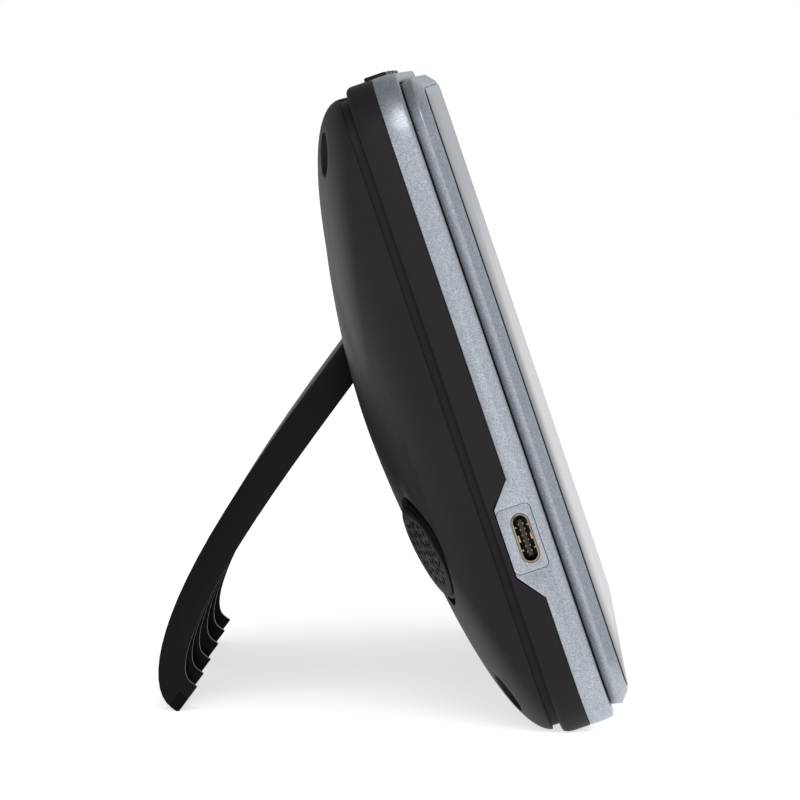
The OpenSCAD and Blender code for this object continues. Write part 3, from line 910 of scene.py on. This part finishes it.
@dataclass
class SilverFront:
    """Silver band and bezel, the port insert and the cover glass."""

    housing: Housing
    band_front_y: float = 4.1
    ridge_y: float = 2.05
    bezel_back_y: float = 3.78
    glass_proud: float = 0.28
    bezel_inset: float = 1.8
    bezel_back_inset: float = 2.3
    face_inset: float = 3.7
    insert_y: float = 9.15
    insert_half_y: float = 3.1
    insert_half_z: float = 5.9
    insert_r: float = 1.0
    insert_clear_z: float = 5.6
    border: float = 6.5
    contact_length: float = 5.0
    contact_rise: float = 0.36
    spring_inset: float = 1.6
    spring_length: float = 1.6
    spring_y: tuple[float, float] = (0.95, 1.36)
    spring_rows: tuple[tuple[float, float], ...] = ((2.1, 0.14), (0.0, 0.6), (-2.1, 0.14))

    def band(self) -> bpy.types.Object:
        """Band with a rounded front edge and the step around the socket.

        Returns:
            The finished band.
        """
        h = self.housing
        front = self.band_front_y
        profile = [(front, 0.6), (front + 0.08, 0.4), (front + 0.25, 0.26), (front + 0.7, 0.14),
                   (front + 1.5, 0.04), (front + 2.4, 0.0), (h.split_y - 0.25, 0.0), (h.split_y - 0.08, 0.1)]
        band = Part("mid_frame_band", loft([h.band_ring(y, inset) for y, inset in profile]))
        step = Part("step", socket_step(h, -h.half_w, -h.half_w + 2.2, -0.1))
        band.work(step, Cut.ON)
        band.work(loft([h.band_ring(front - 1, h.wall), h.band_ring(7.2, h.wall)], 16))
        band.work(loft([h.band_ring(7.1, 18.0), h.band_ring(h.split_y + 1, 18.0)], 16))
        band.work(self.opening(0.06, 2.9))
        band.work(brick((-h.half_w + 1.6, 5.6, -h.socket_drop - self.insert_clear_z),
                        (-h.half_w + 12, 14, -h.socket_drop + self.insert_clear_z)))
        band.work(brick((-55, 6, h.half_h - 9.2), (55, 12, h.half_h - 5)))
        for slot in key_slots(h):
            band.work(slot)
        band.work(table_plane(h))
        piece = band.finish(h.place, BAND_LACQUER, 0.12, 40)
        adopt(piece, "housing", "mid_frame")
        return piece

    def opening(self, grow: float, length: float) -> bmesh.types.BMesh:
        """Rounded block through the band's side where the port insert sits.

        Args:
            grow: how much it is grown across.
            length: its length along the width.

        Returns:
            The solid.
        """
        h = self.housing
        half_y, half_z, radius = self.insert_half_y + grow, self.insert_half_z + grow, self.insert_r + grow
        bm = brick((-h.half_w - 1, self.insert_y - half_y, -h.socket_drop - half_z),
                   (-h.half_w - 1 + length, self.insert_y + half_y, -h.socket_drop + half_z))
        corners = [e for e in bm.edges if abs(e.verts[0].co.x - e.verts[1].co.x) > 0.5]
        bmesh.ops.bevel(bm, geom=corners, offset=radius, segments=8, profile=0.5, affect="EDGES", material=-1)
        return bm

    def bezel(self) -> bpy.types.Object:
        """Bezel with two facets that meet in a soft ridge.

        Returns:
            The finished bezel.
        """
        h = self.housing
        back = self.bezel_back_y
        proud = self.glass_proud
        profile = [(proud + 0.05, self.face_inset + 0.5), (proud, self.face_inset + 0.3),
                   (proud + 0.1, self.face_inset + 0.02), (self.ridge_y - 0.14, self.bezel_inset + 0.1),
                   (self.ridge_y, self.bezel_inset + 0.02), (self.ridge_y + 0.12, self.bezel_inset + 0.04),
                   (back - 0.06, self.bezel_back_inset), (back, self.bezel_back_inset + 0.06),
                   (back + 0.02, h.inner_inset), (5.8, h.inner_inset)]
        bezel = Part("front_bezel_frame", loft([h.band_ring(y, inset) for y, inset in profile]))
        bezel.work(loft([h.band_ring(-1, h.lens_inset - 0.1), h.band_ring(1.3, h.lens_inset - 0.1)]))
        bezel.work(loft([h.band_ring(1, h.lens_inset + 2.4), h.band_ring(1.8, h.lens_inset + 2.4)], 12))
        bezel.work(loft([h.band_ring(1.7, h.wall + 1.7), h.band_ring(8, h.wall + 1.7)], 12))
        piece = bezel.finish(h.place, BAND_LACQUER, 0.0, 40)
        # Painted shade: the tongue behind the bezel's back gets black ABS, which darkens the seam between bezel
        # and band the way its shadow would
        repaint(piece, STAND_ABS, h, lambda at: at.y > back + 0.01)
        adopt(piece, "housing", "front_bezel")
        return piece

    def lens(self) -> bpy.types.Object:
        """Cover glass with ground edges and the panel's window marked off on its face.

        Returns:
            The finished glass.
        """
        h = self.housing
        profile = [(0.0, h.lens_inset + 0.25), (0.08, h.lens_inset + 0.06), (0.3, h.lens_inset),
                   (1.1, h.lens_inset)]
        lens = Part("front_lens_glass", loft([h.band_ring(y, inset) for y, inset in profile]))
        piece = lens.finish(h.place, LENS_GLASS, 0.0, 50)
        piece.data.materials.append(WINDOW_GLASS.material())
        bm = bmesh.new()
        bm.from_mesh(piece.data)
        face = min(bm.faces, key=lambda f: (f.calc_center_median().y - f.calc_area() * 100))
        window = bmesh.ops.inset_region(bm, faces=[face], thickness=self.border * MM, depth=0.0)
        face.material_index = 1
        log.info("window ring of %d faces", len(window["faces"]))
        bm.to_mesh(piece.data)
        bm.free()
        adopt(piece, "housing", "front_lens")
        return piece

    def build(self) -> None:
        """Models the silver front and the glass."""
        self.band()
        self.bezel()
        self.lens()
        refined("usb_port_insert", BAND_LACQUER, 0.1)
        refined("usb_socket_shell", SOCKET_STEEL, 0.09)
        tongue = frame["nodes"]["usb_socket_tongue"]
        dress_node(tongue, TONGUE_NYLON)
        h = self.housing
        repaint(tongue, CONTACT_GOLD, h, lambda at: at.x < self.contact_length - h.half_w
                and abs(at.y - h.split_y) > self.contact_rise)
        self.springs()

    def springs(self) -> None:
        """Gold-plated grounding springs inside the socket's shell, three on each side."""
        h = self.housing
        x = -h.half_w + self.spring_inset
        near, far = self.spring_y
        made = None
        for side in (-1, 1):
            y0, y1 = sorted((h.split_y + side * near, h.split_y + side * far))
            for z, half in self.spring_rows:
                mid = z - h.socket_drop
                block = brick((x, y0, mid - half), (x + self.spring_length, y1, mid + half))
                made = made.work(block, Cut.ON) if made else Part("socket_springs", block)
        adopt(made.finish(h.place, CONTACT_GOLD, 0.06), "housing")


def repaint(piece: bpy.types.Object, finish: Finish, h: Housing, chosen: Callable[[Vector], bool]) -> None:
    """Gives some faces of a piece a second finish.

    Args:
        piece: the piece, with its first finish on it.
        finish: the finish of the chosen faces.
        h: the housing, whose frame the choice is made in.
        chosen: tells from a face's middle, in housing millimetres, whether it gets the finish.
    """
    piece.data.materials.append(finish.material())
    to_housing = h.place.inverted()
    for face in piece.data.polygons:
        if chosen(to_housing @ face.center):
            face.material_index = 1


def dress_node(node: bpy.types.Object, finish: Finish) -> None:
    """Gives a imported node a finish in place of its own."""
    node.data.materials.clear()
    node.data.materials.append(finish.material())


@dataclass
class Stand:
    """Fold-out stand with its rubber foot."""

    edge_mm: float = 0.16
    foot_edge_mm: float = 0.25

    def build(self) -> None:
        """Rounds the stand's edges and dresses it."""
        refined("kickstand_leg", STAND_ABS, self.edge_mm)
        refined("leg_foot_pad", FOOT_RUBBER, self.foot_edge_mm)


@dataclass
class Trim:
    """Keys, speaker grille and screws."""

    key_edge_mm: float = 0.35
    grille_edge_mm: float = 0.07
    screw_edge_mm: float = 0.1

    def build(self) -> None:
        """Rounds and dresses the small visible pieces."""
        for i in range(1, 5):
            refined(f"key_{i}", KEY_ABS, self.key_edge_mm)
        refined("speaker_grille", GRILLE_ABS, self.grille_edge_mm)
        refined("case_screws", SCREW_ZINC, self.screw_edge_mm)


@dataclass
class Studio:
    """Pale floor, even white surroundings, soft lights and the camera."""

    eye: Vector = field(default_factory=lambda: Vector((-1.012, -0.0211, 0.1189)))
    gaze: Vector = field(default_factory=lambda: Vector((0.9977, 0.0206, -0.0649)))
    focal_mm: float = 237.5
    sensor_mm: float = 36.0
    dim: float = 0.25
    bright: float = 0.95
    narrowing: float = 1.6
    rear_share: float = 0.12
    front_glow: float = 0.45
    floor_half: float = 6.0
    floor_glow: float = 0.68

    def camera(self) -> None:
        """Puts the camera near the object's left end, a little above it."""
        data = bpy.data.cameras.new("camera")
        data.lens = self.focal_mm
        data.sensor_width = self.sensor_mm
        data.clip_start = 0.01
        camera = bpy.data.objects.new("camera", data)
        camera.location = self.eye
        camera.rotation_euler = self.gaze.to_track_quat("-Z", "Y").to_euler()
        bpy.context.scene.collection.objects.link(camera)
        bpy.context.scene.camera = camera

    def lamp(self, name: str, place: Sequence[float], aim: Sequence[float], size: float, power: float) -> None:
        """Adds a square softbox.

        Args:
            name: the lamp's name.
            place: where it stands, in metres.
            aim: the point that it faces.
            size: its side, in metres.
            power: its power, in watts.
        """
        data = bpy.data.lights.new(name, "AREA")
        data.size = size
        data.energy = power
        lamp = bpy.data.objects.new(name, data)
        lamp.location = place
        lamp.rotation_euler = (Vector(aim) - Vector(place)).to_track_quat("-Z", "Y").to_euler()
        bpy.context.scene.collection.objects.link(lamp)

    def surroundings(self) -> None:
        """Studio surroundings that are bright along the width and dim elsewhere, and a pale floor."""
        world = bpy.data.worlds.new("white_studio")
        world.use_nodes = True
        tree = world.node_tree
        tree.nodes.clear()
        axis = add_node(tree, "ShaderNodeSeparateXYZ",
                        links={0: add_node(tree, "ShaderNodeTexCoord").outputs["Generated"]})
        width = add_node(tree, "ShaderNodeMath", {"operation": "ABSOLUTE"}, {0: axis.outputs["X"]})
        narrow = add_node(tree, "ShaderNodeMath", {"operation": "POWER", 1: self.narrowing},
                          {0: width.outputs["Value"]})
        side = add_node(tree, "ShaderNodeMapRange",
                        {"From Min": -0.25, "From Max": 0.45, "To Min": 1.0, "To Max": self.rear_share},
                        {"Value": axis.outputs["Y"]})
        share = add_node(tree, "ShaderNodeMath", {"operation": "MULTIPLY"},
                         {0: narrow.outputs["Value"], 1: side.outputs["Result"]})
        glow = add_node(tree, "ShaderNodeMapRange", {"To Min": self.dim, "To Max": self.bright},
                        {"Value": share.outputs["Value"]})
        front = add_node(tree, "ShaderNodeMapRange",
                         {"From Min": -1.0, "From Max": -0.3, "To Min": self.front_glow, "To Max": 0.0},
                         {"Value": axis.outputs["Y"]})
        total = add_node(tree, "ShaderNodeMath", {"operation": "ADD"},
                         {0: glow.outputs["Result"], 1: front.outputs["Result"]})
        lit = add_node(tree, "ShaderNodeBackground", {"Color": srgb("f2f5fa")},
                       {"Strength": total.outputs["Value"]})
        seen = add_node(tree, "ShaderNodeBackground", {"Color": (1, 1, 1, 1), "Strength": 1.0})
        pick = add_node(tree, "ShaderNodeMixShader", links={
            0: add_node(tree, "ShaderNodeLightPath").outputs["Is Camera Ray"], 1: lit.outputs[0],
            2: seen.outputs[0]})
        add_node(tree, "ShaderNodeOutputWorld", links={"Surface": pick.outputs[0]})
        bpy.context.scene.world = world
        bpy.context.scene.view_settings.view_transform = "Standard"
        bm = bmesh.new()
        bmesh.ops.create_grid(bm, x_segments=1, y_segments=1, size=self.floor_half)
        floor = Part("floor", bm).piece
        material = bpy.data.materials.new("white_paper")
        material.use_nodes = True
        paper = material.node_tree.nodes["Principled BSDF"]
        paper.inputs["Base Color"].default_value = srgb("fbfbfb")
        paper.inputs["Roughness"].default_value = 0.9
        paper.inputs["Emission Color"].default_value = (1, 1, 1, 1)
        paper.inputs["Emission Strength"].default_value = self.floor_glow
        floor.data.materials.append(material)

    def build(self) -> None:
        """Sets the whole studio."""
        self.camera()
        self.surroundings()
        self.lamp("end_softbox", (-0.6, -0.01, 0.5), (-0.09, 0, 0.1), 0.34, 1.5)
        self.lamp("rear_softbox", (-0.7, 0.4, 0.5), (-0.05, 0.02, 0.07), 0.25, 0.35)


def main() -> None:
    """Builds the studio and every sub-assembly in order."""
    logging.basicConfig(level=logging.INFO, format="%(message)s")
    Studio().build()
    housing = Housing()
    RearCover(housing).build()
    SilverFront(housing).build()
    Stand().build()
    Trim().build()
    for node, finish in NODE_FINISHES.items():
        dress_node(frame["nodes"][node], finish)
        log.info("%s is %s", node, finish.name)


if __name__ == "__main__":
    main()
